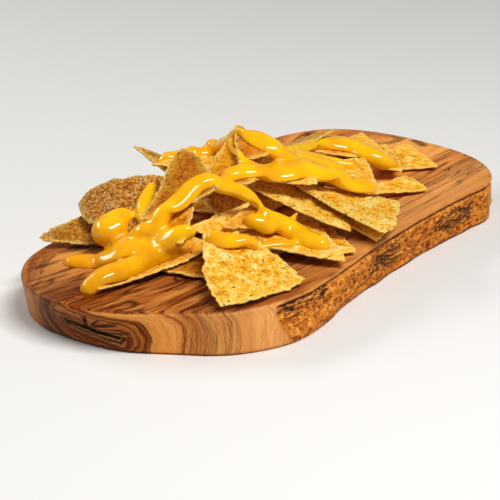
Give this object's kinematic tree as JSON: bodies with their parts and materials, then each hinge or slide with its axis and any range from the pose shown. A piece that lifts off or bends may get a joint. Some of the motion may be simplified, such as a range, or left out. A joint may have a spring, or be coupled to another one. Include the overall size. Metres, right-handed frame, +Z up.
{
  "type": "nachos on a serving board",
  "caption": "Tortilla chips heaped on a live-edge olive-wood serving board, with melted cheese sauce poured over the heap.",
  "frame": {"origin": "on the flat underside, at the middle of the board's length and width", "axes": "+X along the board, away from the sawn end with the knot; +Y across it, away from the bark edge; +Z up"},
  "size_m": [0.2796, 0.1358, 0.0676],
  "materials": {
    "olive_wood": "oiled olive wood with dark brown grain, a smooth sawn side and one bark edge",
    "tortilla": "fried corn tortilla, dry, golden yellow with pale blisters and fine dark specks",
    "cheese_sauce": "smooth glossy melted cheese sauce, golden yellow"
  },
  "bodies": {
    "root": {"board": "olive_wood", "chip_base_left": "tortilla", "chip_base_middle": "tortilla", "chip_base_right": "tortilla", "chip_base_back": "tortilla", "chip_shadowed": "tortilla", "chip_far_left": "tortilla", "chip_low_left": "tortilla", "chip_under_right": "tortilla", "chip_tucked": "tortilla", "chip_end": "tortilla", "chip_broken": "tortilla", "chip_front_right": "tortilla", "chip_second_left": "tortilla", "chip_second_middle": "tortilla", "chip_inner": "tortilla", "chip_long": "tortilla", "chip_bright": "tortilla", "chip_hollow": "tortilla", "chip_slim": "tortilla", "chip_arched": "tortilla", "chip_rimmed": "tortilla", "chip_front": "tortilla", "chip_back_right": "tortilla", "chip_back_top": "tortilla", "chip_sauced_right": "tortilla", "chip_back_left": "tortilla", "chip_stray": "tortilla", "chip_ridge": "tortilla", "chip_sauced": "tortilla", "chip_face": "tortilla", "chip_tall": "tortilla", "chip_peak": "tortilla", "sauce_tongue": "cheese_sauce", "sauce_streak": "cheese_sauce", "sauce_left_blob": "cheese_sauce", "sauce_drop": "cheese_sauce", "sauce_rim_drip": "cheese_sauce", "sauce_front": "cheese_sauce", "sauce_smear": "cheese_sauce", "sauce_lobe": "cheese_sauce", "sauce_right_blob": "cheese_sauce", "sauce_back": "cheese_sauce", "sauce_back_low": "cheese_sauce", "sauce_ridge": "cheese_sauce", "sauce_right_branch": "cheese_sauce", "sauce_left_stream": "cheese_sauce", "sauce_main": "cheese_sauce", "sauce_peak": "cheese_sauce", "sauce_strand": "cheese_sauce"}
  },
  "joints": []
}
